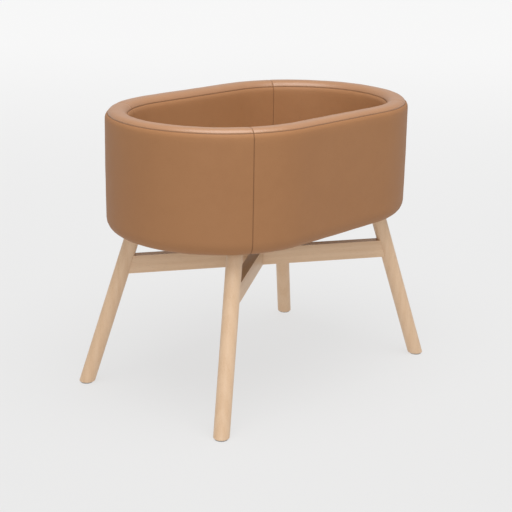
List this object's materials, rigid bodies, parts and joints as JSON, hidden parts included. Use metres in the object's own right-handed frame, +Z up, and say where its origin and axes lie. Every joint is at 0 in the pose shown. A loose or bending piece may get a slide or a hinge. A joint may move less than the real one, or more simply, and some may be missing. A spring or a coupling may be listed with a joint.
{
  "type": "bassinet on stand",
  "caption": "Oval upholstered bassinet with padded rim and lift-out mattress on splayed round wooden legs joined by crossed rails.",
  "frame": {"origin": "on the floor, under the middle of the oval basket", "axes": "+X along the basket's length, +Y across it towards the back, +Z up"},
  "size_m": [0.84, 0.544, 0.702],
  "materials": {
    "beech": "clear matt lacquer over pale straight-grained beech",
    "plywood": "sanded birch plywood, uncoated",
    "zinc_steel": "zinc plated",
    "brass": "turned",
    "glide_plastic": "moulded, matt grey",
    "underside_cloth": "brown non-woven cloth on hardboard",
    "foam": "open-cell upholstery foam",
    "leather_wall": "smooth caramel coated leather, soft sheen",
    "leather_rim": "smooth caramel coated leather, soft sheen",
    "leather_lining": "smooth caramel coated leather, soft sheen",
    "ticking": "undyed cotton, plain weave"
  },
  "bodies": {
    "bassinet": {"leg_front_left": "beech", "leg_front_right": "beech", "leg_back_left": "beech", "leg_back_right": "beech", "rail_over": "beech", "rail_under": "beech", "lap_screw": "zinc_steel", "lap_insert": "brass", "leg_inserts": "brass", "leg_bolts": "zinc_steel", "bolt_washers": "zinc_steel", "foot_glides": "glide_plastic", "glide_nails": "zinc_steel", "base_board": "plywood", "underside_panel": "underside_cloth", "shell_left": "plywood", "shell_right": "plywood", "splice_front": "plywood", "splice_back": "plywood", "splice_screws": "zinc_steel", "shell_screws": "zinc_steel", "rim_hoop": "plywood", "hoop_screws": "zinc_steel", "outer_foam": "foam", "inner_foam": "foam", "rim_foam": "foam", "floor_pad": "foam", "floor_lining": "leather_lining", "hem_staples": "zinc_steel", "cover_front": "leather_wall", "cover_back": "leather_wall", "cover_left": "leather_wall", "cover_right": "leather_wall", "rim_cover_front": "leather_rim", "rim_cover_back": "leather_rim", "rim_cover_left": "leather_rim", "rim_cover_right": "leather_rim", "lining_front": "leather_lining", "lining_back": "leather_lining", "lining_left": "leather_lining", "lining_right": "leather_lining"},
    "mattress": {"mattress_core": "foam", "mattress_cover": "ticking", "mattress_base": "ticking"}
  },
  "joints": [
    {"name": "mattress_lift", "type": "slide", "parent": "bassinet", "child": "mattress", "axis": [0, 0, 1], "range_m": [0, 0.3]}
  ]
}
